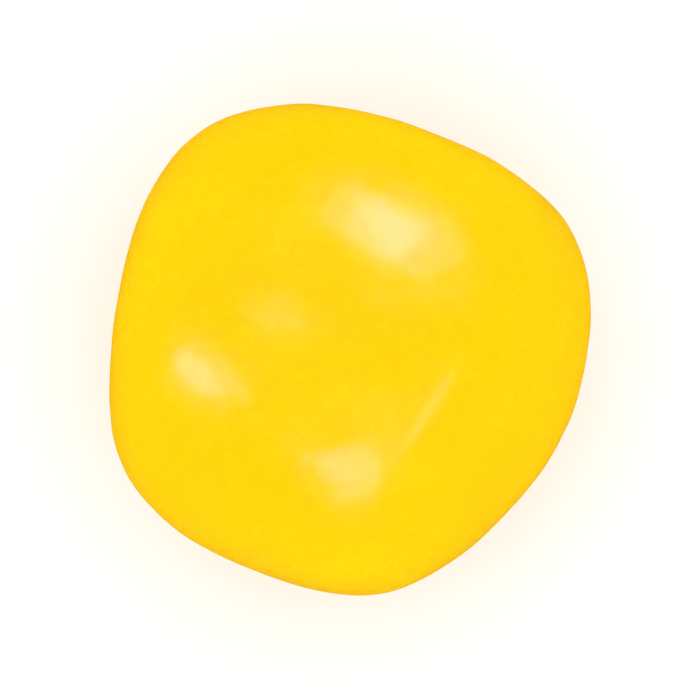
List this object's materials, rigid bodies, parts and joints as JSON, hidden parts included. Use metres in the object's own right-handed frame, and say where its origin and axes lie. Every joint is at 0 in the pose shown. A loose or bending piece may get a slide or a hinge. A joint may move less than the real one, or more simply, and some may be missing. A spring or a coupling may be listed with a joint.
{
  "type": "chewy candy",
  "caption": "Lumpy round chewy candy in a glossy yellow sugar shell, softly pressed out of round, resting on a small flat spot.",
  "frame": {"origin": "middle of the candy's footprint, on the level of the flat spot that it rests on", "axes": "+Z up, as the candy lies; the view from above has +X to the right and +Y up"},
  "size_m": [0.0154, 0.0156, 0.0136],
  "materials": {
    "sugar_shell": "polished lemon-yellow sugar shell, glossy and slightly uneven, with the light glowing softly in it"
  },
  "bodies": {
    "root": {"candy": "sugar_shell"}
  },
  "joints": []
}
